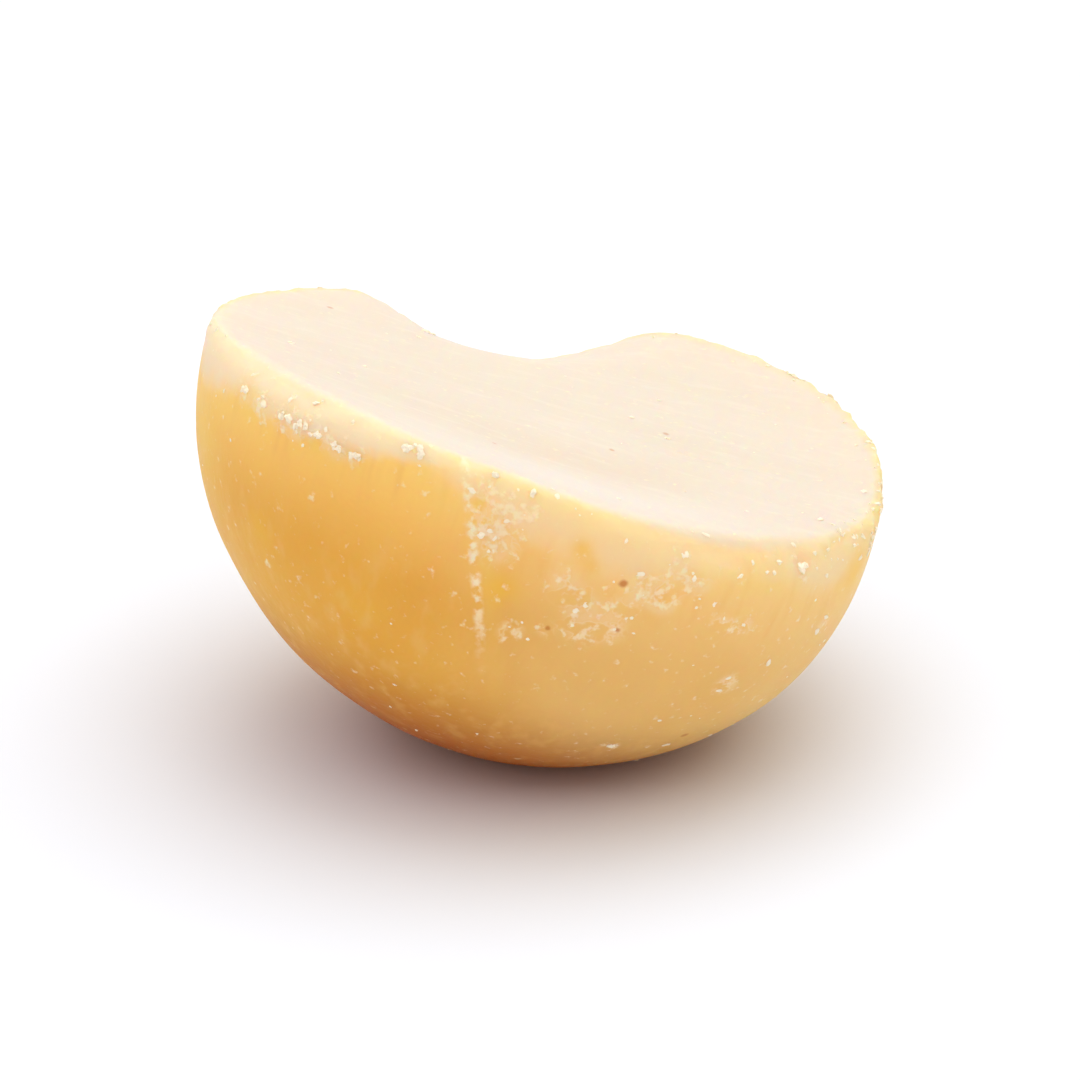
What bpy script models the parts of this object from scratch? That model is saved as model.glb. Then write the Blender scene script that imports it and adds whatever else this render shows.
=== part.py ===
"""One half of a shelled macadamia kernel, lying on its rounded back with its split face up.

The whole kernel is a ball, a little longer towards its tip. It has split along its middle, and this
is one half, a single solid. The split face is a shallow dish with a slight twist. A bite has broken
out of its back edge, the rim has rubbed into bevels, and a layer has peeled off part of the front.

Lengths are in metres. The kernel's own axes, before it is laid down, start at the middle of the
unsplit kernel: x runs along the split to the blunt end, y along the split to the bite, and z straight
out of the split face. A bearing is measured round the split from the blunt end towards the bite.
"""

import math

import bmesh
import bpy
import numpy as np
from mathutils import Euler, Vector

MM = 0.001

# The unsplit kernel: how far it reaches from its middle along its axes.
BLUNT_REACH = 9.3 * MM
TIP_REACH = 9.6 * MM
SIDE_REACH = 9.2 * MM
BACK_REACH = 9.3 * MM
SQUARENESS = 2.2

# Its broad swellings, or hollows where the height is negative.
SWELLINGS = (
    # bearing, drop below the split and spread in degrees, then height
    (348.0, 30.0, 27.0, 0.42 * MM),
    (280.0, 75.0, 30.0, 0.12 * MM),
    (200.0, 52.0, 30.0, -0.16 * MM),
    (52.0, 0.0, 24.0, 0.2 * MM),
)

# The split face, above the middle of the unsplit kernel.
FACE_HEIGHT = 0.75 * MM
DISH_DEPTH = 0.45 * MM
DISH_STRETCH = 1.3
DISH_STEEPNESS = 3.0
TWIST = 0.9 * MM

# The bite out of the back edge, an ellipsoid whose inside is gone.
BITE_CENTRE = Vector((-2.2, 9.4, 2.6)) * MM
BITE_REACH = Vector((4.3, 5.0, 3.7)) * MM
BITE_ROUNDING = 1.3 * MM

# The bevel round the rim: its usual width down the back, and where it is wider.
BEVEL_WIDTH = 0.12 * MM
BEVEL_ROUNDING = 0.2 * MM
BEVEL_STEEPNESS = 1.6
WIDE_BEVELS = (
    # bearing and spread in degrees, then extra width
    (222.0, 24.0, 0.65 * MM),
    (312.0, 28.0, 1.0 * MM),
)

# The peeled layer on the front: a step down at a straight crease, which fades away from it.
CREASE_FACING = Vector((0.917, 0.209, 0.338)).normalized()
CREASE_OFFSET = -3.1 * MM
CREASE_WIDTH = 0.7 * MM
PEEL_DEPTH = 0.18 * MM
PEEL_REACH = 5.5 * MM
PEEL_FRONT = 3.0 * MM
PEEL_LOWEST = -7.5 * MM
PEEL_LOWEST_FULL = -4.0 * MM

# How the half lies: turned about x, then y, then z, with a flat worn where it rests.
LEAN = Euler((math.radians(-9.8), math.radians(13.7), math.radians(-6.6)))
FLAT_DEPTH = 0.4 * MM

# The mesh: spokes and rings round a point inside the half. One ring follows the rim, and the others
# crowd towards it. Round the two poles the spokes are closer than the weld, and so become fewer.
HEART = Vector((0.0, -1.6, -3.2)) * MM
SPOKES = 100
RINGS = 46
RIM_RING = 20
CROWDING = 1.45
HALVINGS = 32
WELD = 0.1 * MM
SHARP_ANGLE = math.radians(40)

COLOUR = (0.84, 0.58, 0.25, 1.0)
ROUGHNESS = 0.45


def smooth_max(a, b, rounding):
    """The larger of two distances, rounded where they meet."""
    overlap = np.maximum(rounding - np.abs(a - b), 0.0) / rounding
    return np.maximum(a, b) + overlap**2 * rounding / 4


def smooth_step(share):
    """From 0 to 1 as the share does, level at both ends."""
    share = np.clip(share, 0.0, 1.0)
    return share * share * (3 - 2 * share)


def bump(values, middle, spread, period=None):
    """A bell curve, 1 at its middle."""
    apart = values - middle
    if period:
        apart = (apart + period / 2) % period - period / 2
    return np.exp(-((apart / spread) ** 2))


def bearings(points):
    return np.degrees(np.arctan2(points[:, 1], points[:, 0]))


def swelling(points):
    """How far the swellings and hollows lift the kernel's surface."""
    aims = points / np.linalg.norm(points, axis=1)[:, None]
    total = np.zeros(len(points))
    for bearing, drop, spread, height in SWELLINGS:
        turn, tilt = math.radians(bearing), math.radians(drop)
        middle = (math.cos(tilt) * math.cos(turn), math.cos(tilt) * math.sin(turn), -math.sin(tilt))
        apart = np.degrees(np.arccos(np.clip(aims @ middle, -1.0, 1.0)))
        total += height * bump(apart, 0.0, spread)
    return total


def peel(points):
    """How deep the peeled layer is: deepest along the crease, and nothing on its other side."""
    past_crease = points @ np.array(CREASE_FACING) - CREASE_OFFSET
    step = smooth_step(past_crease / CREASE_WIDTH)
    fade = bump(np.maximum(past_crease, 0.0), 0.0, PEEL_REACH)
    height = smooth_step((points[:, 2] - PEEL_LOWEST) / (PEEL_LOWEST_FULL - PEEL_LOWEST))
    front = smooth_step(-points[:, 1] / PEEL_FRONT)
    return PEEL_DEPTH * step * fade * height * front


def outside_back(points):
    """How far points lie outside the rounded back, which is the unsplit kernel's surface."""
    x, y, z = points.T
    long_reach = np.where(x > 0, BLUNT_REACH, TIP_REACH)
    round_split = (np.abs(x) / long_reach) ** SQUARENESS + (np.abs(y) / SIDE_REACH) ** SQUARENESS
    share = np.sqrt(round_split ** (2 / SQUARENESS) + (z / BACK_REACH) ** 2)
    return (share - 1) * SIDE_REACH - swelling(points) + peel(points)


def outside_bite(points):
    """How far points lie inside the bite, and so outside the half."""
    shares = (points - np.array(BITE_CENTRE)) / np.array(BITE_REACH)
    return (1 - np.linalg.norm(shares, axis=1)) * min(BITE_REACH)


def outside_face(points):
    """How far points lie above the split face or inside the bite."""
    x, y, z = points.T
    along, away = x / BLUNT_REACH, y / SIDE_REACH
    dish = DISH_DEPTH * (np.hypot(along / DISH_STRETCH, away) ** DISH_STEEPNESS - 1)
    split = z - FACE_HEIGHT - dish - TWIST * along * away
    return smooth_max(split, outside_bite(points), BITE_ROUNDING)


def bevel_width(points):
    """The width of the rim's bevel at the bearing of each point."""
    width = np.full(len(points), BEVEL_WIDTH)
    for bearing, spread, extra in WIDE_BEVELS:
        width += extra * bump(bearings(points), bearing, spread, 360.0)
    return width


def outside_half(points):
    """How far points lie outside the half kernel: negative inside it, and 0 on its surface."""
    back, face = outside_back(points), outside_face(points)
    bevel = (BEVEL_STEEPNESS * back + face + bevel_width(points)) / math.hypot(BEVEL_STEEPNESS, 1)
    return smooth_max(smooth_max(back, face, BEVEL_ROUNDING), bevel, BEVEL_ROUNDING)


def halve(low, high, is_low):
    """The border between low and high where is_low turns false, found by halving."""
    for _ in range(HALVINGS):
        middle = (low + high) / 2
        still_low = is_low(middle)
        low = np.where(still_low, middle, low)
        high = np.where(still_low, high, middle)
    return low


def surface_points(turns, tilts):
    """Where the half's surface is, seen from its heart at these turns round z and tilts from it."""
    level = np.sin(tilts)
    aims = np.stack([level * np.cos(turns), level * np.sin(turns), np.cos(tilts)], axis=1)
    heart = np.array(HEART)
    none, far = np.zeros(len(aims)), np.full(len(aims), 2 * TIP_REACH)
    reach = halve(none, far, lambda length: outside_half(heart + aims * length[:, None]) < 0)
    return heart + aims * reach[:, None]


def rim_tilts(turns):
    """The tilt at which the rim is seen from the heart, at each turn."""

    def on_face(tilts):
        points = surface_points(turns, tilts)
        return outside_face(points) > outside_back(points)

    return halve(np.zeros(len(turns)), np.full(len(turns), math.pi), on_face)


def globe():
    """A bmesh globe with every vertex moved onto the half kernel."""
    made = bmesh.new()
    bmesh.ops.create_uvsphere(made, u_segments=SPOKES, v_segments=RINGS, radius=1.0)
    aims = np.array([vertex.co.normalized() for vertex in made.verts])
    turns = np.arctan2(aims[:, 1], aims[:, 0])
    rings = np.arccos(np.clip(aims[:, 2], -1.0, 1.0)) / math.pi * RINGS
    rims = rim_tilts(turns)
    above = np.clip(1 - rings / RIM_RING, 0.0, 1.0)
    below = np.clip((rings - RIM_RING) / (RINGS - RIM_RING), 0.0, 1.0)
    tilts = rims * (1 - above**CROWDING) + (math.pi - rims) * below**CROWDING
    for vertex, point in zip(made.verts, surface_points(turns, tilts)):
        vertex.co = point
    bmesh.ops.remove_doubles(made, verts=made.verts, dist=WELD)
    return made


def wear_flat(made, up):
    """Slices off the lowest part and closes the slice with one flat face."""
    lowest = min(vertex.co.dot(up) for vertex in made.verts)
    everything = made.verts[:] + made.edges[:] + made.faces[:]
    level = up * (lowest + FLAT_DEPTH)
    cut = bmesh.ops.bisect_plane(made, geom=everything, plane_co=level, plane_no=-up, clear_outer=True)
    edges = [item for item in cut["geom_cut"] if isinstance(item, bmesh.types.BMEdge)]
    bmesh.ops.holes_fill(made, edges=edges)
    bmesh.ops.recalc_face_normals(made, faces=made.faces)


def kernel_material():
    made = bpy.data.materials.new("kernel")
    made.use_nodes = True
    shader = made.node_tree.nodes["Principled BSDF"]
    shader.inputs["Base Color"].default_value = COLOUR
    shader.inputs["Roughness"].default_value = ROUGHNESS
    shader.inputs["Metallic"].default_value = 0.0
    return made


def resting_place(mesh):
    """The location that puts the leaning half's flat on the ground, centred under its outline."""
    turn = LEAN.to_matrix()
    points = np.array([turn @ vertex.co for vertex in mesh.vertices])
    low, high = points.min(axis=0), points.max(axis=0)
    return (-(low[0] + high[0]) / 2, -(low[1] + high[1]) / 2, -low[2])


def kernel_half():
    """The half kernel, modelled along its own axes and then laid on its worn flat."""
    made = globe()
    wear_flat(made, LEAN.to_matrix().transposed() @ Vector((0, 0, 1)))
    mesh = bpy.data.meshes.new("kernel_half")
    made.to_mesh(mesh)
    made.free()
    mesh.materials.append(kernel_material())
    mesh.shade_smooth()
    mesh.set_sharp_from_angle(angle=SHARP_ANGLE)

    half = bpy.data.objects.new("kernel_half", mesh)
    bpy.context.scene.collection.objects.link(half)
    half.rotation_euler = LEAN
    half.location = resting_place(mesh)


for old in list(bpy.data.objects):
    bpy.data.objects.remove(old)

kernel_half()
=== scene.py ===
"""The looks of half a shelled macadamia kernel: its skin, split flesh, bloom, specks and crumbs.

Lengths are in metres. The kernel's own axes start at the middle of the unsplit kernel: x runs along
the split to the blunt end, y along the split to the bite, and z straight out of the split face. A
bearing is measured round the split from the blunt end towards the bite, and a drop is the angle below
the split.
"""

import math

import bmesh
import bpy
import numpy as np
from mathutils import Euler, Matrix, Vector, noise


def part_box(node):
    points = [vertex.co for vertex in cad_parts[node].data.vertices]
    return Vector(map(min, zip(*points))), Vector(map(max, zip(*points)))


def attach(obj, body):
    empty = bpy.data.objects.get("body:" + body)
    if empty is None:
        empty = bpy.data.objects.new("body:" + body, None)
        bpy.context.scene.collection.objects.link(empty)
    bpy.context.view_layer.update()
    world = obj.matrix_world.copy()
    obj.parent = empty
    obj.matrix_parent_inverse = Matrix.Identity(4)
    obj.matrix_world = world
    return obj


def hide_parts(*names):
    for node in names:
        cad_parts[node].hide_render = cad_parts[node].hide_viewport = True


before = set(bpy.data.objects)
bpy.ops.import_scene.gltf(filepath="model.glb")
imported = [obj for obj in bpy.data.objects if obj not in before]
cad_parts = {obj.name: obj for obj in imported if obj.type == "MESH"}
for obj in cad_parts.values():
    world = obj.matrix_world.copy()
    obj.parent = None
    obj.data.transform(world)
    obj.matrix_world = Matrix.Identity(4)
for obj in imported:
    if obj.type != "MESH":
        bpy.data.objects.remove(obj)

MM = 0.001
NODE = "kernel_half"

# The shape of the solid, which the fine surface repeats.
BLUNT_REACH = 9.3 * MM
TIP_REACH = 9.6 * MM
SIDE_REACH = 9.2 * MM
BACK_REACH = 9.3 * MM
SQUARENESS = 2.2
SWELLINGS = (
    # bearing, drop and spread in degrees, then height
    (348.0, 30.0, 27.0, 0.42 * MM),
    (280.0, 75.0, 30.0, 0.12 * MM),
    (200.0, 52.0, 30.0, -0.16 * MM),
    (52.0, 0.0, 24.0, 0.2 * MM),
)
FACE_HEIGHT = 0.75 * MM
DISH_DEPTH = 0.45 * MM
DISH_STRETCH = 1.3
DISH_STEEPNESS = 3.0
TWIST = 0.9 * MM
BITE_CENTRE = Vector((-2.2, 9.4, 2.6)) * MM
BITE_REACH = Vector((4.3, 5.0, 3.7)) * MM
BITE_ROUNDING = 1.3 * MM
BEVEL_WIDTH = 0.12 * MM
BEVEL_ROUNDING = 0.2 * MM
BEVEL_STEEPNESS = 1.6
WIDE_BEVELS = (
    # bearing and spread in degrees, then extra width
    (222.0, 24.0, 0.65 * MM),
    (312.0, 28.0, 1.0 * MM),
)
CREASE_FACING = Vector((0.917, 0.209, 0.338)).normalized()
CREASE_OFFSET = -3.1 * MM
CREASE_WIDTH = 0.7 * MM
PEEL_DEPTH = 0.18 * MM
PEEL_REACH = 5.5 * MM
PEEL_FRONT = 3.0 * MM
PEEL_LOWEST = -7.5 * MM
PEEL_LOWEST_FULL = -4.0 * MM
LEAN = Euler((math.radians(-9.8), math.radians(13.7), math.radians(-6.6)))
HEART = Vector((0.0, -1.6, -3.2)) * MM

# The fine mesh: spokes and rings round the heart, with one ring along the rim.
SPOKES = 330
RINGS = 165
RIM_RING = 72
CROWDING = 1.35
HALVINGS = 30
NORMAL_STEP = 0.02 * MM

# Fades over the surface, each from where it is 0 to where it is 1.
FLESH_FADE = (-0.075 * MM, 0.425 * MM)
BEVEL_FADE = (0.018 * MM, 0.108 * MM)
PALE_FADE = (-2.5 * MM, 3.0 * MM)
BLUNT_FADE = (3.0 * MM, 9.0 * MM)
RIM_SPREAD = 0.7 * MM

# Bands of the face along its front, where it rises a little to a lip and sinks to a valley, with a painted
# highlight on the lip and a painted shade in the valley: how far inside the rim and how wide, then bearing
# and spread.
LIP_AND_HIGHLIGHT_BAND = (1.9 * MM, 1.4 * MM, 280.0, 45.0)
VALLEY_AND_SHADE_BAND = (4.8 * MM, 1.3 * MM, 280.0, 50.0)

# The part of the front where the bevel keeps the colour of the skin: its bearing and spread.
SKIN_BEVEL = (275.0, 62.0)

# The fine relief: the height of its bumps and how long they are, then the noise's seed and octaves.
DENTS = (0.035 * MM, 3.2 * MM, 1, 2)
CRUST = (0.06 * MM, 0.55 * MM, 2, 4)
CHIPS = (0.05 * MM, 0.5 * MM, 3, 4)
FACE_GRAIN = (0.022 * MM, 0.9 * MM, 4, 3)
FACE_GRAIN_STRETCH = (0.35, 1.0, 1.0)
NOISE_SPAN = 50
LIP_HEIGHT = 0.01 * MM
VALLEY_DEPTH = 0.09 * MM

# Where white bloom clings to the back, in the scraped patch and along the worn rim.
BLOOM = (
    # bearing, drop and spread in degrees, then strength
    (262.5, -2.0, 2.4, 0.9),
    (266.5, -0.5, 3.0, 0.9),
    (271.5, 0.5, 3.0, 0.6),
    (264.5, 5.0, 2.4, 0.8),
    (269.0, 4.0, 3.4, 0.8),
    (267.5, 8.5, 2.8, 0.7),
    (280.0, 11.0, 3.4, 0.55),
    (284.5, 15.0, 3.6, 0.6),
    (286.0, 20.0, 3.0, 0.6),
    (291.0, 13.5, 2.4, 0.45),
    (291.0, 18.5, 2.8, 0.6),
    (294.5, 9.0, 2.8, 1.1),
    (298.5, 5.5, 2.8, 1.1),
    (298.0, 11.0, 2.4, 0.9),
    (303.0, 6.5, 2.4, 0.8),
    (289.5, 2.5, 1.8, 0.5),
    (273.7, 23.6, 1.9, 1.1),
    (279.5, 21.5, 1.6, 0.6),
    (309.5, 13.5, 1.5, 0.9),
    (312.4, 13.8, 1.5, 0.9),
    (315.2, 13.9, 1.5, 0.9),
    (319.0, 26.0, 2.2, 0.9),
    (307.3, 46.7, 1.4, 1.1),
    (324.7, 3.6, 2.2, 1.0),
    (337.0, 15.0, 1.7, 0.8),
    (349.8, 3.3, 2.2, 1.0),
    (214.0, -1.0, 2.4, 0.9),
    (219.5, -0.7, 2.6, 1.0),
    (225.5, -0.6, 2.6, 1.0),
    (229.0, -0.3, 2.2, 1.0),
    (233.0, -0.3, 2.0, 0.9),
    (237.0, 0.3, 2.0, 0.8),
    (240.6, 0.0, 1.8, 0.9),
    (250.0, -4.3, 1.8, 0.9),
    (120.0, 8.0, 7.0, 0.8),
    (70.0, 20.0, 6.0, 0.7),
    (60.0, 27.0, 3.0, 0.9),
    (20.0, 30.0, 4.0, 0.5),
    (165.0, 34.0, 4.0, 0.6),
)

# Where the skin is a deeper orange.
ORANGE_SPOTS = (
    # bearing, drop and spread in degrees, then strength
    (281.5, 4.5, 2.0, 0.8),
    (284.0, 7.0, 1.6, 0.5),
    (270.0, 15.4, 3.2, 0.8),
    (263.0, 1.0, 1.6, 0.8),
    (342.5, 5.5, 4.5, 0.8),
    (200.0, 12.0, 9.0, 0.6),
    (222.0, 20.0, 3.0, 0.4),
    (245.0, 27.0, 4.0, 0.3),
    (110.0, 20.0, 4.0, 0.7),
)

# Strips of the back rubbed pale under the rim.
RUBBED = (
    # bearing and spread in degrees, then how far down it reaches and how far it fades
    (229.0, 24.0, 1.05 * MM, 0.4 * MM),
    (284.0, 22.0, 1.1 * MM, 1.1 * MM),
    (331.0, 13.0, 0.8 * MM, 1.0 * MM),
    (199.0, 18.0, 0.9 * MM, 1.0 * MM),
)

# Their ragged lower edge, given as relief is. A strip fades where its bell curve times the fill is under 1.
RUBBED_RAGS = (0.2 * MM, 0.7 * MM, 6, 3)
RUBBED_FILL = 3

# Brown specks.
BACK_SPECKS = (
    # bearing and drop in degrees, then radius
    (290.0, 9.0, 0.14 * MM),
    (323.0, 41.0, 0.13 * MM),
    (280.0, 21.0, 0.09 * MM),
    (292.0, 18.0, 0.09 * MM),
    (152.0, 22.0, 0.1 * MM),
    (95.0, 30.0, 0.12 * MM),
)
FACE_SPECKS = (
    # x and y, then radius
    (3.2 * MM, 0.6 * MM, 0.11 * MM),
    (1.9 * MM, -2.1 * MM, 0.1 * MM),
    (-1.2 * MM, -5.1 * MM, 0.09 * MM),
    (-6.6 * MM, 4.7 * MM, 0.1 * MM),
)

# A short groove scratched in the face.
GROOVE_START = Vector((3.7, -0.65)) * MM
GROOVE_END = Vector((5.6, -0.6)) * MM
GROOVE_WIDTH = 0.11 * MM
GROOVE_DEPTH = 0.05 * MM

# Crumbs, chosen from many scattered places: how many, how large and how lumpy.
PLACES = 30000
CRUMBS = 320
CRUMB_SIZE = 0.09 * MM
CRUMB_SIZE_SPREAD = 0.4
CRUMB_LARGEST = 0.19 * MM
CRUMB_SEED = 5
CRUMB_LUMPS = 0.24
CRUMB_STRETCH = (0.75, 1.4)
BALL_DETAIL = 2

# Some crumbs on the rim stand up from it as burrs, and the others lie flat: their height for their size.
BURR_SHARE = 0.5
BURR_HEIGHT = (0.7, 1.2)
FLAT_HEIGHT = (0.25, 0.5)

# How much crumbs gather in the bloom, on the rim, on its blunt end, on the skin there, and anywhere.
IN_BLOOM = 0.2
ON_RIM = 0.08
ON_BLUNT_RIM = 0.26
ON_BLUNT_SKIN = 0.02
ANYWHERE = 0.003

# The larger flakes, most of them along the rim, each a cluster of flat lumps.
FLAKES = (
    # bearing and drop in degrees, then length and width
    (214.0, -1.0, 0.3 * MM, 0.16 * MM),
    (219.5, -0.7, 0.45 * MM, 0.16 * MM),
    (225.5, -0.6, 0.45 * MM, 0.18 * MM),
    (229.0, -0.3, 0.4 * MM, 0.2 * MM),
    (232.5, -0.3, 0.4 * MM, 0.16 * MM),
    (236.5, 0.3, 0.35 * MM, 0.16 * MM),
    (240.6, 0.1, 0.4 * MM, 0.16 * MM),
    (250.0, -4.3, 0.7 * MM, 0.22 * MM),
    (324.7, 3.6, 0.3 * MM, 0.2 * MM),
    (349.8, 3.3, 0.3 * MM, 0.2 * MM),
    (307.3, 46.7, 0.2 * MM, 0.16 * MM),
    (125.0, 0.0, 0.4 * MM, 0.2 * MM),
    (40.0, -2.0, 0.3 * MM, 0.2 * MM),
)
FLAKE_LUMPS = 6
FLAKE_THICKNESS = 0.1 * MM
LUMP_SCATTER = 0.3
LUMP_SIZE = (0.4, 1.0)
LUMP_STRETCH = 1.3

# The stage: the floor, then square soft boxes that face the nut.
FLOOR_SIZE = 1.2
FLOOR_BLOBS = 60.0
LAMPS = (
    # name, place, width and power in watts
    ("ceiling", Vector((0.0, 0.0, 0.84)), 1.8, 8.8),
    ("key", Vector((0.05, 0.08, 0.44)), 0.35, 0.5),
)

# The sky is white, and warm below this height, where the light is bounced.
HORIZON = (1.2, 0.66, 0.26, 1.0)
HORIZON_HEIGHT = 0.45
SKY = (1.0, 1.0, 1.0, 1.0)
SKY_STRENGTH = 0.52

# The camera: how high it looks down from, and the width of its view where the nut lies.
CAMERA_ELEVATION = math.radians(25)
CAMERA_DISTANCE = 0.45
CAMERA_TARGET = Vector((0.0, 0.0, 5.4)) * MM
CAMERA_SENSOR = 36.0
CAMERA_NEAREST = 0.01
VIEW_WIDTH = 29.5 * MM


def srgb(red, green, blue):
    """A linear colour from its 0 to 255 screen values."""

    def linear(value):
        share = value / 255
        return share / 12.92 if share <= 0.04045 else ((share + 0.055) / 1.055) ** 2.4

    return (linear(red), linear(green), linear(blue), 1.0)


# The colours of the skin: its darker and lighter blotches, then a painted light near the rim and a painted
# shade low down.
GOLDEN = (srgb(230, 168, 62), srgb(237, 184, 80), srgb(255, 217, 126), srgb(178, 88, 12))
PALE = (srgb(234, 187, 106), srgb(239, 198, 124), srgb(250, 216, 142), srgb(182, 94, 14))
FIBRE = srgb(240, 194, 112)
ORANGE = srgb(242, 198, 60)
WORN = srgb(242, 224, 190)
WORN_PALE = srgb(245, 221, 170)

# The colours of the flesh, and of what clings to the skin and the flesh.
CREAM = srgb(229, 217, 200)
CREAM_DEEP = srgb(225, 211, 190)
# The painted shade of the valley and the painted highlight of the lip.
VALLEY_SHADE = srgb(226, 209, 187)
LIP_HIGHLIGHT = srgb(229, 220, 207)
GRAIN = srgb(234, 223, 205)
HAZE = srgb(247, 220, 170)
FLECK = srgb(253, 238, 204)
SPECK = srgb(205, 128, 60)
CRUMB = srgb(255, 248, 230)
CRUMB_DEEP = srgb(252, 238, 206)

FLOOR = (0.86, 0.895, 0.96, 1.0)
FLOOR_DEEP = (0.84, 0.875, 0.94, 1.0)

# How strongly each colour is laid over what is under it.
FIBRE_TINT = 0.5
FIBRE_TINT_LOW = 0.1
BLOOM_ORANGE = 0.12
SPOT_ORANGE = 0.75
# How strongly the valley's painted shade is laid on.
VALLEY_SHADE_TINT = 0.8
GRAIN_TINT = 0.4
BEVEL_TINT = 0.9
HAZE_TINT = 0.75
VEIL_TINT = 0.7
FLECK_TINT = 0.75
BACK_SPECK_TINT = 0.8
FACE_SPECK_TINT = 0.5

# The patterns in the colours, with lengths in millimetres: their grains, and how they are stretched.
SKIN_GRAIN = 2.4
FIBRE_GRAIN = 0.5
FIBRE_STRETCH = (1.0, 1.0, 0.18)
STREAK_GRAIN = 2.5
FINE_STREAK_GRAIN = 0.35
STREAK_STRETCH = (0.25, 1.0, 1.0)
STREAK_TURN = math.radians(5)
WEB_GRAIN = 0.7
FLECK_GRAIN = 0.26
PORE_GRAIN = 0.16
CRUMB_BLOBS = 900.0

# Where each pattern's noise, from 0 to 1, begins to show and shows in full.
FIBRE_EDGE = (0.45, 0.8)
FINE_STREAK_EDGE = (0.5, 0.75)
VEIL_EDGE = (0.4, 0.6)
DASH_EDGE = (0.4, 0.62)
WEB_LEVEL = 0.5
WEB_WIDTH = 0.05
BLOOM_EDGE = (0.05, 0.6)
FLECK_LEVEL = 0.68
FLECK_LEVEL_IN_BLOOM = 0.48
FLECK_EDGE = (-0.06, 0.14)
SPECK_EDGE = (0.3, 1.2)

# How rough the surface is at least and how much it varies, then what flesh and flecks add.
ROUGHNESS = 0.4
ROUGHNESS_RANGE = 0.18
FLESH_ROUGHNESS = 0.12
FLECK_ROUGHNESS = 0.25
CRUMB_ROUGHNESS = (-0.8, 1.4)
FLOOR_ROUGHNESS = 0.7
SHINE = 0.15
DULL_SHINE = 0.2

# The finest bumps: how strong they are, their height, and the share of the pores.
BUMP_STRENGTH = 0.35
BUMP_HEIGHT = 0.06 * MM
PORE_SHARE = 0.4
CRUMB_BUMP_STRENGTH = 0.4
CRUMB_BUMP_HEIGHT = 0.03 * MM

# The light that wanders through the kernel: its share, and how far red, green and blue light get.
GLOW = 0.85
GLOW_COLOURS = (1.0, 0.45, 0.15)
GLOW_REACH = 2.6 * MM

# Depths below the split, in millimetres, over which the painted light near the rim fades out, the painted
# shade low down comes in as the fibres thin, and the line of the crease ends.
RIM_LIGHT_DEPTHS = (0.3, 4.5)
LOW_SHADE_DEPTHS = (5.8, 9.4)
CREASE_LINE_END = (3.0, 6.0)

# The pale line of the crease, in millimetres: how far it lies before the step, and its half width.
CREASE_LINE_SHIFT = -0.2
CREASE_LINE_EDGE = (0.02, 0.2)

# Shape


def smooth_max(a, b, rounding):
    """The larger of two distances, rounded where they meet."""
    overlap = np.maximum(rounding - np.abs(a - b), 0.0) / rounding
    return np.maximum(a, b) + overlap**2 * rounding / 4


def smooth_step(share):
    """From 0 to 1 as the share does, level at both ends."""
    share = np.clip(share, 0.0, 1.0)
    return share * share * (3 - 2 * share)


def fade(values, start, end):
    """0 up to the start, 1 from the end on, and smooth between."""
    return smooth_step((values - start) / (end - start))


def bump(values, middle, spread, period=None):
    """A bell curve, 1 at its middle."""
    apart = values - middle
    if period:
        apart = (apart + period / 2) % period - period / 2
    return np.exp(-((apart / spread) ** 2))


def unit(vectors):
    """Vectors of the same directions with a length of 1."""
    return vectors / np.linalg.norm(vectors, axis=-1, keepdims=True)


def bearings(points):
    return np.degrees(np.arctan2(points[:, 1], points[:, 0]))


def aim(bearing, drop):
    """The unit vector at a bearing and a drop, both in degrees."""
    turn, tilt = math.radians(bearing), math.radians(drop)
    return np.array((math.cos(tilt) * math.cos(turn), math.cos(tilt) * math.sin(turn), -math.sin(tilt)))


def patches(points, places):
    """The sum of round patches, each at a bearing and drop, with a spread and a height."""
    aims = unit(points)
    total = np.zeros(len(points))
    for bearing, drop, spread, height in places:
        apart = np.degrees(np.arccos(np.clip(aims @ aim(bearing, drop), -1.0, 1.0)))
        total += height * bump(apart, 0.0, spread)
    return total


def past_crease(points):
    return points @ np.array(CREASE_FACING) - CREASE_OFFSET


def crease_extent(points):
    """1 on the front, where the peeled layer and its crease are, fading downwards and backwards."""
    height = fade(points[:, 2], PEEL_LOWEST, PEEL_LOWEST_FULL)
    return height * smooth_step(-points[:, 1] / PEEL_FRONT)


def peel(points):
    """How deep the peeled layer is: deepest along the crease, and nothing on its other side."""
    step = smooth_step(past_crease(points) / CREASE_WIDTH)
    away = bump(np.maximum(past_crease(points), 0.0), 0.0, PEEL_REACH)
    return PEEL_DEPTH * step * away * crease_extent(points)


def outside_back(points):
    """How far points lie outside the rounded back, which is the unsplit kernel's surface."""
    x, y, z = points.T
    long_reach = np.where(x > 0, BLUNT_REACH, TIP_REACH)
    round_split = (np.abs(x) / long_reach) ** SQUARENESS + (np.abs(y) / SIDE_REACH) ** SQUARENESS
    share = np.sqrt(round_split ** (2 / SQUARENESS) + (z / BACK_REACH) ** 2)
    return (share - 1) * SIDE_REACH - patches(points, SWELLINGS) + peel(points)


def outside_bite(points):
    """How far points lie inside the bite, and so outside the half."""
    shares = (points - np.array(BITE_CENTRE)) / np.array(BITE_REACH)
    return (1 - np.linalg.norm(shares, axis=1)) * min(BITE_REACH)


def outside_face(points):
    """How far points lie above the split face or inside the bite."""
    x, y, z = points.T
    along, away = x / BLUNT_REACH, y / SIDE_REACH
    dish = DISH_DEPTH * (np.hypot(along / DISH_STRETCH, away) ** DISH_STEEPNESS - 1)
    split = z - FACE_HEIGHT - dish - TWIST * along * away
    return smooth_max(split, outside_bite(points), BITE_ROUNDING)


def bevel_width(points):
    """The width of the rim's bevel at the bearing of each point."""
    width = np.full(len(points), BEVEL_WIDTH)
    for bearing, spread, extra in WIDE_BEVELS:
        width += extra * bump(bearings(points), bearing, spread, 360.0)
    return width


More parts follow.
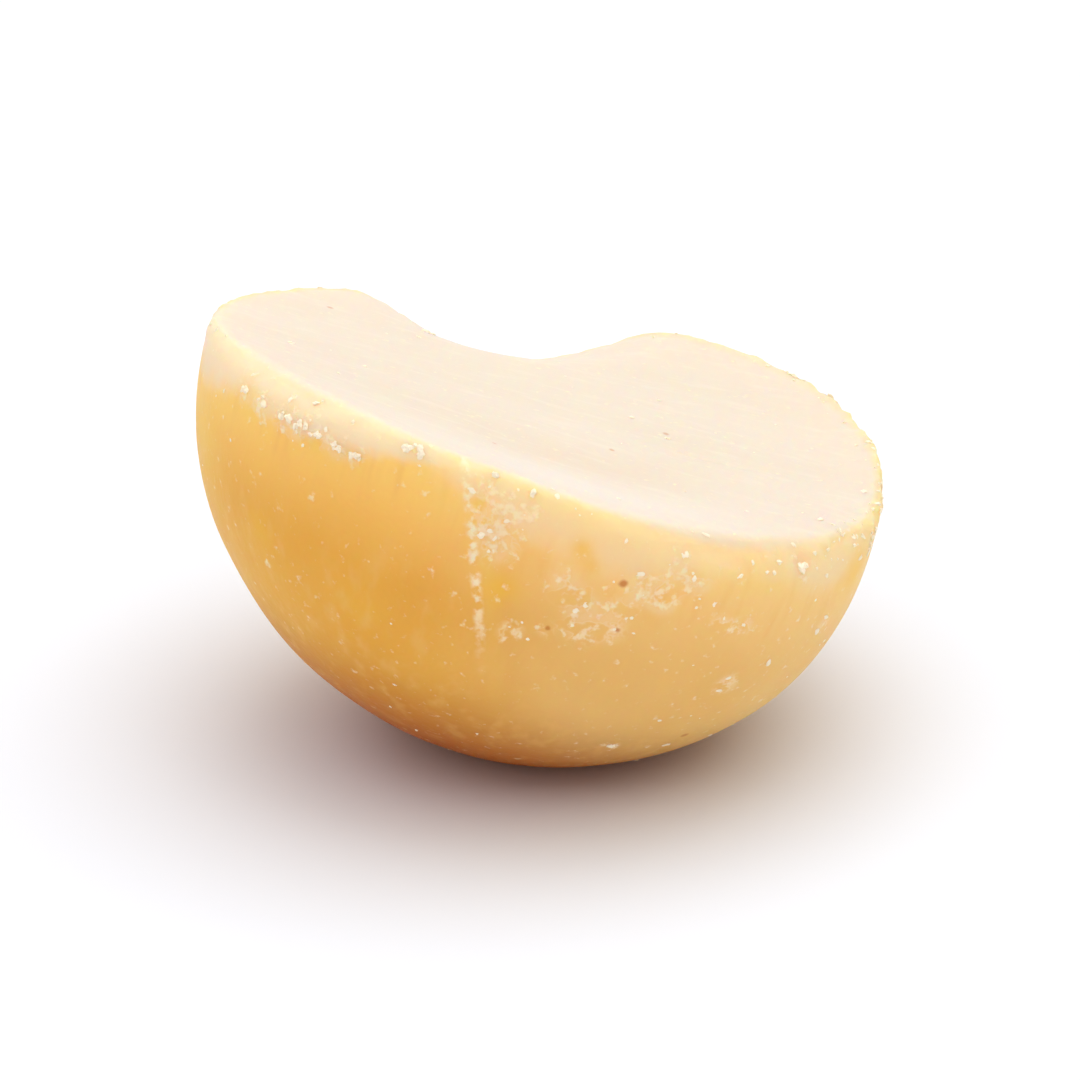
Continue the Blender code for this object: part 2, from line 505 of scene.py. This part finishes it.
def outside_half(points):
    """How far points lie outside the half kernel: negative inside it, and 0 on its surface."""
    back, face = outside_back(points), outside_face(points)
    bevel = (BEVEL_STEEPNESS * back + face + bevel_width(points)) / math.hypot(BEVEL_STEEPNESS, 1)
    return smooth_max(smooth_max(back, face, BEVEL_ROUNDING), bevel, BEVEL_ROUNDING)


def halve(low, high, is_low):
    """The border between low and high where is_low turns false, found by halving."""
    for _ in range(HALVINGS):
        middle = (low + high) / 2
        still_low = is_low(middle)
        low = np.where(still_low, middle, low)
        high = np.where(still_low, high, middle)
    return low


def ray_ends(start, aims):
    """Where rays from a place inside the half leave it."""
    none, far = np.zeros(len(aims)), np.full(len(aims), 2 * TIP_REACH)
    reach = halve(none, far, lambda length: outside_half(start + aims * length[:, None]) < 0)
    return start + aims * reach[:, None]


def surface_points(aims):
    """Where rays from the heart of the half leave it."""
    return ray_ends(np.array(HEART), aims)


def heart_aims(turns, tilts):
    """Unit vectors at turns round z and tilts from it."""
    level = np.sin(tilts)
    return np.stack([level * np.cos(turns), level * np.sin(turns), np.cos(tilts)], axis=-1)


def rim_tilts(turns):
    """The tilt at which the rim is seen from the heart, at each turn."""

    def inside_rim(tilts):
        return from_rim(surface_points(heart_aims(turns, tilts))) > 0

    return halve(np.zeros(len(turns)), np.full(len(turns), math.pi), inside_rim)


def back_place(bearing, drop):
    """The place on the smooth half at a bearing and a drop."""
    return ray_ends(np.zeros(3), aim(bearing, drop)[None, :])[0]


def face_place(x, y):
    """The place on the smooth face over x and y."""
    return np.array((x, y, -outside_face(np.array([(x, y, 0.0)]))[0]))


def outward(points):
    """The half's outward normals at points on its surface."""
    steps = NORMAL_STEP * np.eye(3)
    slopes = [outside_half(points + step) - outside_half(points - step) for step in steps]
    return unit(np.stack(slopes, axis=1))


# Masks over the surface, and the fine relief


def uneven(points, height, grain, seed, octaves):
    """Smooth noise, mostly within a height of nothing, with bumps about a grain across."""
    shift = Vector(np.random.default_rng(seed).uniform(-NOISE_SPAN, NOISE_SPAN, 3))
    places = [Vector(place) + shift for place in points / grain]
    return height * np.array([noise.fractal(place, 1.0, 2.0, octaves) for place in places])


def from_rim(points):
    """How far points on the surface lie from the rim: above 0 on the face, below 0 on the back."""
    return outside_face(points) - outside_back(points)


def flesh_share(points):
    """1 on the split face and in the bite, 0 on the back."""
    return fade(from_rim(points), *FLESH_FADE)


def bevel_share(points):
    """1 on the bevel of the rim."""
    depth = np.minimum(-outside_face(points), -outside_back(points))
    return fade(depth, *BEVEL_FADE)


def worn_bevel_share(points):
    """1 on the bevel, except where it keeps the colour of the skin."""
    bearing, spread = SKIN_BEVEL
    return bevel_share(points) * (1 - bump(bearings(points), bearing, spread, 360.0))


def bloom_share(points):
    """How thickly white bloom clings to the back and the bevel, 0 to 1."""
    off_face = np.maximum(1 - flesh_share(points), bevel_share(points))
    return np.clip(patches(points, BLOOM), 0.0, 1.0) * off_face


def rim_share(points):
    """1 along the rim, fading within about a millimetre."""
    return bump(from_rim(points), 0.0, RIM_SPREAD)


def pale_share(points):
    """How pale the skin is: golden towards the tip and pale towards the blunt end."""
    return fade(past_crease(points), *PALE_FADE)


def blunt_share(points):
    """1 at the blunt end."""
    return fade(points[:, 0], *BLUNT_FADE)


def depth_below(points):
    """How far points lie below the split."""
    return np.maximum(-outside_face(points), 0.0)


def rubbed_share(points):
    """1 on the strips of the back rubbed pale under the rim."""
    depth = depth_below(points) + uneven(points, *RUBBED_RAGS)
    total = np.zeros(len(points))
    for bearing, spread, reach, fading in RUBBED:
        along = bump(bearings(points), bearing, spread, 360.0)
        share = 1 - smooth_step((depth - reach * along) / fading)
        total = np.maximum(total, share * smooth_step(RUBBED_FILL * along))
    return total


def crease_share(points):
    """1 on the part of the back where the crease shows."""
    return crease_extent(points) * (1 - flesh_share(points))


def face_band(points, inside, width, bearing, spread):
    """1 along a band of the face inside the rim, fading away from its bearing."""
    across = bump(from_rim(points), inside, width)
    return across * bump(bearings(points), bearing, spread, 360.0) * flesh_share(points)


def groove(points):
    """How deep the scratched groove is."""
    start, end = np.array(GROOVE_START), np.array(GROOVE_END)
    span = end - start
    share = np.clip((points[:, :2] - start) @ span / (span @ span), 0.0, 1.0)
    apart = np.linalg.norm(points[:, :2] - start - share[:, None] * span, axis=1)
    return GROOVE_DEPTH * bump(apart, 0.0, GROOVE_WIDTH) * flesh_share(points)


def relief(points):
    """The fine unevenness of the surface, outwards."""
    flesh = flesh_share(points)
    skin_dents = uneven(points, *DENTS) * (1 - flesh)
    crust = uneven(points, *CRUST) * bloom_share(points)
    chips = uneven(points, *CHIPS) * (1 + blunt_share(points)) * rim_share(points)
    grain = uneven(points * FACE_GRAIN_STRETCH, *FACE_GRAIN) * flesh
    lip = LIP_HEIGHT * face_band(points, *LIP_AND_HIGHLIGHT_BAND) - VALLEY_DEPTH * face_band(points, *VALLEY_AND_SHADE_BAND)
    return skin_dents + crust + chips + grain + lip - groove(points)


# Building


def to_world(points, offset):
    """Kernel axes to the row's frame."""
    return points @ np.array(LEAN.to_matrix()).T + offset


def make_object(name, points, faces, material, attributes=(), smooth=True):
    mesh = bpy.data.meshes.new(name)
    mesh.from_pydata(points.tolist(), [], faces)
    for attribute, values in attributes:
        kind = "FLOAT_VECTOR" if values.ndim == 2 else "FLOAT"
        layer = mesh.attributes.new(attribute, kind, "POINT")
        layer.data.foreach_set("vector" if values.ndim == 2 else "value", values.ravel())
    mesh.materials.append(material)
    if smooth:
        mesh.shade_smooth()
    made = bpy.data.objects.new(name, mesh)
    bpy.context.scene.collection.objects.link(made)
    return made


def globe_faces():
    """Quads between rings and triangles round the poles, for points from globe_points."""
    faces = []
    for ring in range(RINGS - 2):
        for spoke in range(SPOKES):
            after = (spoke + 1) % SPOKES
            top, bottom = ring * SPOKES, (ring + 1) * SPOKES
            faces.append((top + spoke, bottom + spoke, bottom + after, top + after))
    face_pole = (RINGS - 1) * SPOKES
    back_pole = face_pole + 1
    last = (RINGS - 2) * SPOKES
    for spoke in range(SPOKES):
        after = (spoke + 1) % SPOKES
        faces.append((face_pole, spoke, after))
        faces.append((back_pole, last + after, last + spoke))
    return faces


def globe_points():
    """Points over the half kernel, ring by ring from the face, then the pole of the face and the back's."""
    turns = np.linspace(0, math.tau, SPOKES, endpoint=False)
    rims = rim_tilts(turns)[None, :]
    rings = np.arange(1, RINGS)[:, None]
    above = np.clip(1 - rings / RIM_RING, 0.0, 1.0)
    below = np.clip((rings - RIM_RING) / (RINGS - RIM_RING), 0.0, 1.0)
    tilts = rims * (1 - above**CROWDING) + (math.pi - rims) * below**CROWDING
    grid = heart_aims(np.broadcast_to(turns, tilts.shape), tilts).reshape(-1, 3)
    return surface_points(np.vstack([grid, (0, 0, 1), (0, 0, -1)]))


def masks(smooth):
    """The attributes that the kernel's material reads, at points on the smooth half."""
    return (
        ("place", smooth / MM),
        ("flesh", flesh_share(smooth)),
        ("bevel", worn_bevel_share(smooth)),
        ("bloom", bloom_share(smooth)),
        ("crease", crease_share(smooth)),
        ("pale", pale_share(smooth)),
        ("rubbed", rubbed_share(smooth)),
        ("depth", depth_below(smooth) / MM),
        ("orange", patches(smooth, ORANGE_SPOTS)),
        # Where the face's painted highlight and painted shade lie, on the lip and in the valley.
        ("lip", face_band(smooth, *LIP_AND_HIGHLIGHT_BAND)),
        ("valley_shade", face_band(smooth, *VALLEY_AND_SHADE_BAND)),
    )


def kernel_offset(smooth):
    """The offset that puts kernel axes in the row's frame, with the half in the box of its solid."""
    low, high = map(np.array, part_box(NODE))
    leaning = to_world(smooth, 0.0)
    offset = (low + high) / 2 - (leaning.min(axis=0) + leaning.max(axis=0)) / 2
    offset[2] = high[2] - leaning[:, 2].max()
    return offset


def in_box(points, offset):
    """Points in the row's frame, kept inside the solid's box, whose floor wears the flat."""
    return np.clip(to_world(points, offset), *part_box(NODE))


def build_kernel(smooth, offset):
    """The fine half kernel."""
    points = in_box(smooth + outward(smooth) * relief(smooth)[:, None], offset)
    return make_object("kernel_surface", points, globe_faces(), kernel_material(), masks(smooth))


def crumb_sites(random):
    """Seeded places for crumbs on the smooth half, most often in the bloom and along the rim."""
    aims = unit(random.normal(size=(PLACES, 3)))
    points = surface_points(aims)
    normals = outward(points)
    reach = np.linalg.norm(points - np.array(HEART), axis=1)
    areas = reach**2 / np.einsum("ij,ij->i", aims, normals)
    bloom, rim = bloom_share(points), rim_share(points)
    skin, blunt = 1 - flesh_share(points), blunt_share(points)
    weight = IN_BLOOM * bloom + ON_RIM * rim * skin
    weight = weight + ON_BLUNT_RIM * rim * blunt + ON_BLUNT_SKIN * blunt * skin + ANYWHERE
    weight *= areas
    sites = random.choice(PLACES, size=CRUMBS, replace=False, p=weight / weight.sum())
    return points[sites], normals[sites], rim[sites] * (1 - bloom[sites])


def across(normal, random):
    """A seeded direction square to a normal."""
    return unit(np.cross(normal, random.normal(size=3)))


def lumpy(shape, random, seat, normal, along, sizes):
    """A lumpy ball, squashed to its length along, its width and its height out of the surface."""
    lumps = 1 + CRUMB_LUMPS * random.normal(size=len(shape))
    axes = np.stack([along * sizes[0], np.cross(normal, along) * sizes[1], normal * sizes[2]])
    return seat + (shape * lumps[:, None] / 2) @ axes


def scattered_crumbs(shape, random):
    """The points of each crumb, on the smooth half."""
    made = []
    for seat, normal, rim in zip(*crumb_sites(random)):
        size = min(CRUMB_SIZE * math.exp(random.normal(0, CRUMB_SIZE_SPREAD)), CRUMB_LARGEST)
        along = across(normal, random)
        stretch = random.uniform(*CRUMB_STRETCH)
        is_burr = rim > 0.5 and random.random() < BURR_SHARE
        height = random.uniform(*(BURR_HEIGHT if is_burr else FLAT_HEIGHT))
        sizes = (size * stretch, size / stretch, size * height)
        made.append(lumpy(shape, random, seat, normal, along, sizes))
    return made


def flake_lumps(shape, random, bearing, drop, length, width):
    """The points of each lump of a flake, scattered along the rim."""
    middle = back_place(bearing, drop)
    normal = outward(middle[None, :])[0]
    main = unit(np.cross(normal, aim(bearing, -90.0)))
    made = []
    for _ in range(FLAKE_LUMPS):
        seat = middle + main * random.uniform(-0.5, 0.5) * length
        seat = seat + np.cross(normal, main) * random.normal(0, LUMP_SCATTER) * width
        along = across(normal, random)
        size = width * random.uniform(*LUMP_SIZE)
        sizes = (size * LUMP_STRETCH, size, FLAKE_THICKNESS)
        made.append(lumpy(shape, random, seat, normal, along, sizes))
    return made


def ball():
    """The points and the faces of a small round ball."""
    made = bmesh.new()
    bmesh.ops.create_icosphere(made, subdivisions=BALL_DETAIL, radius=1.0)
    points = np.array([vertex.co for vertex in made.verts])
    faces = np.array([[vertex.index for vertex in face.verts] for face in made.faces])
    made.free()
    return points, faces


def build_crumbs(offset):
    """Pale crumbs and flakes stuck to the surface, in one mesh."""
    random = np.random.default_rng(CRUMB_SEED)
    shape, ball_faces = ball()
    made = scattered_crumbs(shape, random)
    for flake in FLAKES:
        made += flake_lumps(shape, random, *flake)

    points = np.vstack(made)
    seats = surface_points(unit(points - np.array(HEART)))
    points = in_box(points + outward(seats) * relief(seats)[:, None], offset)
    faces = np.vstack([ball_faces + len(shape) * index for index in range(len(made))])
    return make_object("kernel_crumbs", points, faces.tolist(), crumb_material(), smooth=False)


# Materials


class Nodes:
    """Adds and links the nodes of one material."""

    def __init__(self, name):
        self.material = bpy.data.materials.new(name)
        self.material.use_nodes = True
        self.tree = self.material.node_tree
        self.shader = self.tree.nodes["Principled BSDF"]

    def add(self, kind, values=(), **settings):
        """A node with its settings made and its inputs set to numbers or linked to sockets."""
        node = self.tree.nodes.new(kind)
        for setting, value in settings.items():
            setattr(node, setting, value)
        for name, value in dict(values).items():
            self.put(node.inputs[name], value)
        return node

    def put(self, socket, value):
        if isinstance(value, bpy.types.NodeSocket):
            self.tree.links.new(value, socket)
        else:
            socket.default_value = value

    def attribute(self, name, output="Fac"):
        return self.add("ShaderNodeAttribute", attribute_name=name).outputs[output]

    def place(self, stretch=(1, 1, 1), turn=0.0):
        """The place on the kernel, in millimetres along its own axes, turned about z and stretched."""
        values = {"Vector": self.attribute("place", "Vector"), "Rotation": (0, 0, turn), "Scale": stretch}
        return self.add("ShaderNodeMapping", values).outputs[0]

    def blobs(self, grain, detail=2.0, stretch=(1, 1, 1), turn=0.0):
        """Noise from 0 to 1 with blobs about a grain across, in millimetres."""
        values = {"Vector": self.place(stretch, turn), "Scale": 1 / grain, "Detail": detail}
        return self.add("ShaderNodeTexNoise", values).outputs["Fac"]

    def mottle(self, scale, detail=2.0):
        """Noise from 0 to 1 with about this many blobs in a metre of the object."""
        place = self.add("ShaderNodeTexCoord").outputs["Object"]
        values = {"Vector": place, "Scale": scale, "Detail": detail}
        return self.add("ShaderNodeTexNoise", values).outputs["Fac"]

    def math(self, operation, a, b=0.0, clamp=False):
        return self.add("ShaderNodeMath", {0: a, 1: b}, operation=operation, use_clamp=clamp).outputs[0]

    def times(self, a, b):
        return self.math("MULTIPLY", a, b)

    def rest_of(self, share):
        """What is left of 1 beside a share."""
        return self.math("SUBTRACT", 1.0, share)

    def line(self, value, slope, start):
        """The value times a slope, plus a start."""
        values = {0: value, 1: slope, 2: start}
        return self.add("ShaderNodeMath", values, operation="MULTIPLY_ADD").outputs[0]

    def ramp(self, value, low, high):
        """0 below low, 1 above high, and smooth between."""
        values = {"Value": value, "From Min": low, "From Max": high}
        return self.add("ShaderNodeMapRange", values, interpolation_type="SMOOTHSTEP").outputs["Result"]

    def mix(self, share, a, b):
        """One colour fading into another."""
        values = {0: share, 6: a, 7: b}
        return self.add("ShaderNodeMix", values, data_type="RGBA").outputs[2]

    def tint(self, colour, share, strength, over):
        """A colour with another laid over it, where the share is above 0."""
        return self.mix(self.math("MULTIPLY", share, strength, clamp=True), colour, over)

    def near(self, point, radius, ragged):
        """1 within a radius of a point, in millimetres, and 0 outside it, with a ragged edge."""
        values = {0: self.attribute("place", "Vector"), 1: tuple(point)}
        apart = self.add("ShaderNodeVectorMath", values, operation="DISTANCE").outputs["Value"]
        apart = self.math("ADD", apart, self.line(ragged, radius, -radius / 2))
        return self.rest_of(self.ramp(apart, *(radius * edge for edge in SPECK_EDGE)))

    def bump(self, height, strength, distance):
        """Bends the light on the surface as bumps of this height would."""
        values = {"Height": height, "Strength": strength, "Distance": distance}
        self.put(self.shader.inputs["Normal"], self.add("ShaderNodeBump", values).outputs[0])


def skin_colour(nodes, worn, fibres):
    """The skin of the back: golden or pale, with fibres, orange spots and rubbed strips, and with painted
    light near the rim and painted shade low down.
    """
    blotches = nodes.blobs(SKIN_GRAIN, 1.0)
    depth = nodes.attribute("depth")
    # Painted light near the rim, where top is 1, and painted shade low down, where low is 1; low also thins
    # the fibres.
    top = nodes.rest_of(nodes.ramp(depth, *RIM_LIGHT_DEPTHS))
    low = nodes.ramp(depth, *LOW_SHADE_DEPTHS)
    skins = []
    for darker, lighter, painted_rim_light, painted_low_shade in (GOLDEN, PALE):
        middle = nodes.mix(blotches, darker, lighter)
        skins.append(nodes.mix(low, nodes.mix(top, middle, painted_rim_light), painted_low_shade))
    skin = nodes.mix(nodes.attribute("pale"), *skins)
    strength = nodes.line(low, FIBRE_TINT_LOW - FIBRE_TINT, FIBRE_TINT)
    skin = nodes.mix(nodes.times(nodes.ramp(fibres, *FIBRE_EDGE), strength), skin, FIBRE)
    skin = nodes.tint(skin, nodes.attribute("bloom"), BLOOM_ORANGE, ORANGE)
    skin = nodes.mix(nodes.attribute("rubbed"), skin, worn)
    return nodes.tint(skin, nodes.attribute("orange"), SPOT_ORANGE, ORANGE)


def flesh_colour(nodes):
    """The flesh of the split face: streaked cream with a painted highlight on the lip and a warmer, darker
    painted shade in the valley.
    """
    streaks = nodes.blobs(STREAK_GRAIN, 1.0, STREAK_STRETCH, STREAK_TURN)
    fine_streaks = nodes.blobs(FINE_STREAK_GRAIN, 2.0, STREAK_STRETCH, STREAK_TURN)
    cream = nodes.mix(streaks, CREAM_DEEP, CREAM)
    # A painted shade in the valley and a painted highlight on the lip.
    cream = nodes.tint(cream, nodes.attribute("valley_shade"), VALLEY_SHADE_TINT, VALLEY_SHADE)
    cream = nodes.mix(nodes.attribute("lip"), cream, LIP_HIGHLIGHT)
    return nodes.tint(cream, nodes.ramp(fine_streaks, *FINE_STREAK_EDGE), GRAIN_TINT, GRAIN)


def bloom_web(nodes, bloom, web_noise):
    """1 on the veil and the thin web that the bloom makes on the skin."""
    apart = nodes.math("ABSOLUTE", nodes.math("SUBTRACT", web_noise, WEB_LEVEL))
    veil = nodes.times(nodes.ramp(web_noise, *VEIL_EDGE), VEIL_TINT)
    web = nodes.rest_of(nodes.ramp(apart, 0.0, WEB_WIDTH))
    return nodes.times(nodes.math("MAXIMUM", web, veil), nodes.ramp(bloom, *BLOOM_EDGE))


def crease_dashes(nodes, fine):
    """1 in broken dashes along the upper part of the crease."""
    facing = {0: nodes.attribute("place", "Vector"), 1: tuple(CREASE_FACING)}
    past = nodes.add("ShaderNodeVectorMath", facing, operation="DOT_PRODUCT").outputs["Value"]
    middle = CREASE_OFFSET / MM + CREASE_LINE_SHIFT
    apart = nodes.math("ABSOLUTE", nodes.math("SUBTRACT", past, middle))
    line = nodes.rest_of(nodes.ramp(apart, *CREASE_LINE_EDGE))
    line = nodes.times(line, nodes.attribute("crease"))
    upper = nodes.rest_of(nodes.ramp(nodes.attribute("depth"), *CREASE_LINE_END))
    return nodes.times(nodes.times(line, nodes.ramp(fine, *DASH_EDGE)), upper)


def specks(nodes, spots, ragged):
    """1 on the specks at these places, each with its radius."""
    total = 0.0
    for spot, radius in spots:
        total = nodes.math("MAXIMUM", total, nodes.near(spot / MM, radius / MM, ragged))
    return total


def kernel_material():
    nodes = Nodes("kernel_looks")
    flesh = nodes.attribute("flesh")
    bloom = nodes.attribute("bloom")
    fibres = nodes.blobs(FIBRE_GRAIN, 2.0, FIBRE_STRETCH)
    web_noise = nodes.blobs(WEB_GRAIN, 3.0)
    fine = nodes.blobs(FLECK_GRAIN, 3.0)
    level = nodes.line(bloom, FLECK_LEVEL_IN_BLOOM - FLECK_LEVEL, FLECK_LEVEL)
    flecks = nodes.ramp(nodes.math("SUBTRACT", fine, level), *FLECK_EDGE)
    worn = nodes.mix(nodes.attribute("pale"), WORN, WORN_PALE)
    back_spots = [(back_place(bearing, drop), radius) for bearing, drop, radius in BACK_SPECKS]
    face_spots = [(face_place(x, y), radius) for x, y, radius in FACE_SPECKS]

    colour = nodes.mix(flesh, skin_colour(nodes, worn, fibres), flesh_colour(nodes))
    colour = nodes.tint(colour, nodes.attribute("bevel"), BEVEL_TINT, worn)
    colour = nodes.tint(colour, bloom_web(nodes, bloom, web_noise), HAZE_TINT, HAZE)
    colour = nodes.mix(crease_dashes(nodes, fine), colour, FLECK)
    colour = nodes.tint(colour, flecks, FLECK_TINT, FLECK)
    colour = nodes.tint(colour, specks(nodes, back_spots, fine), BACK_SPECK_TINT, SPECK)
    colour = nodes.tint(colour, specks(nodes, face_spots, fine), FACE_SPECK_TINT, SPECK)
    nodes.put(nodes.shader.inputs["Base Color"], colour)

    rough = nodes.line(web_noise, ROUGHNESS_RANGE, ROUGHNESS)
    rough = nodes.math("ADD", rough, nodes.times(flesh, FLESH_ROUGHNESS))
    rough = nodes.math("ADD", rough, nodes.times(flecks, FLECK_ROUGHNESS), clamp=True)
    nodes.put(nodes.shader.inputs["Roughness"], rough)

    pores = nodes.times(nodes.blobs(PORE_GRAIN, 0.0), PORE_SHARE)
    nodes.bump(nodes.math("ADD", pores, flecks), BUMP_STRENGTH, BUMP_HEIGHT)

    nodes.shader.subsurface_method = "RANDOM_WALK"
    nodes.shader.inputs["Subsurface Weight"].default_value = GLOW
    nodes.shader.inputs["Subsurface Radius"].default_value = GLOW_COLOURS
    nodes.shader.inputs["Subsurface Scale"].default_value = GLOW_REACH
    nodes.shader.inputs["Specular IOR Level"].default_value = SHINE
    return nodes.material


def crumb_material():
    nodes = Nodes("crumb_looks")
    tone = nodes.mottle(CRUMB_BLOBS)
    nodes.put(nodes.shader.inputs["Base Color"], nodes.mix(tone, CRUMB_DEEP, CRUMB))
    nodes.put(nodes.shader.inputs["Roughness"], nodes.ramp(tone, *CRUMB_ROUGHNESS))
    nodes.bump(tone, CRUMB_BUMP_STRENGTH, CRUMB_BUMP_HEIGHT)
    nodes.shader.inputs["Specular IOR Level"].default_value = DULL_SHINE
    return nodes.material


def floor_material():
    nodes = Nodes("floor_looks")
    tone = nodes.mottle(FLOOR_BLOBS, 0.0)
    nodes.put(nodes.shader.inputs["Base Color"], nodes.mix(tone, FLOOR_DEEP, FLOOR))
    nodes.shader.inputs["Roughness"].default_value = FLOOR_ROUGHNESS
    nodes.shader.inputs["Specular IOR Level"].default_value = DULL_SHINE
    return nodes.material


# The stage, the lights and the camera


def build_floor():
    half = FLOOR_SIZE / 2
    corners = np.array([(-half, -half, 0), (half, -half, 0), (half, half, 0), (-half, half, 0)])
    return make_object("floor", corners, [(0, 1, 2, 3)], floor_material())


def light_sky():
    """A white sky with a warm horizon."""
    world = bpy.data.worlds.new("studio")
    bpy.context.scene.world = world
    world.use_nodes = True
    nodes, links = world.node_tree.nodes, world.node_tree.links
    place = nodes.new("ShaderNodeTexCoord")
    height = nodes.new("ShaderNodeSeparateXYZ")
    fading = nodes.new("ShaderNodeMapRange")
    fading.interpolation_type = "SMOOTHSTEP"
    fading.inputs["From Min"].default_value = 0.0
    fading.inputs["From Max"].default_value = HORIZON_HEIGHT
    colour = nodes.new("ShaderNodeMix")
    colour.data_type = "RGBA"
    colour.inputs[6].default_value = HORIZON
    colour.inputs[7].default_value = SKY
    background = nodes["Background"]
    background.inputs["Strength"].default_value = SKY_STRENGTH
    links.new(place.outputs["Generated"], height.inputs[0])
    links.new(height.outputs["Z"], fading.inputs["Value"])
    links.new(fading.outputs["Result"], colour.inputs[0])
    links.new(colour.outputs[2], background.inputs["Color"])


def hang_lamps():
    for name, place, size, power in LAMPS:
        light = bpy.data.lights.new(name, "AREA")
        light.shape = "SQUARE"
        light.size = size
        light.energy = power
        lamp = bpy.data.objects.new(name, light)
        bpy.context.scene.collection.objects.link(lamp)
        lamp.location = place
        lamp.rotation_euler = (-lamp.location).to_track_quat("-Z", "Y").to_euler()


def aim_camera():
    data = bpy.data.cameras.new("camera")
    data.sensor_width = CAMERA_SENSOR
    data.lens = CAMERA_SENSOR * CAMERA_DISTANCE / VIEW_WIDTH
    data.clip_start = CAMERA_NEAREST
    camera = bpy.data.objects.new("camera", data)
    back = Vector((0.0, -math.cos(CAMERA_ELEVATION), math.sin(CAMERA_ELEVATION)))
    camera.location = CAMERA_TARGET + back * CAMERA_DISTANCE
    camera.rotation_euler = back.to_track_quat("Z", "Y").to_euler()
    bpy.context.scene.collection.objects.link(camera)
    bpy.context.scene.camera = camera


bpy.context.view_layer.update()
smooth_half = globe_points()
half_offset = kernel_offset(smooth_half)
kernel = build_kernel(smooth_half, half_offset)
crumbs = build_crumbs(half_offset)
for piece in (kernel, crumbs):
    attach(piece, "root")
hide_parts(NODE)
build_floor()
light_sky()
hang_lamps()
aim_camera()
bpy.context.scene.view_settings.view_transform = "Standard"
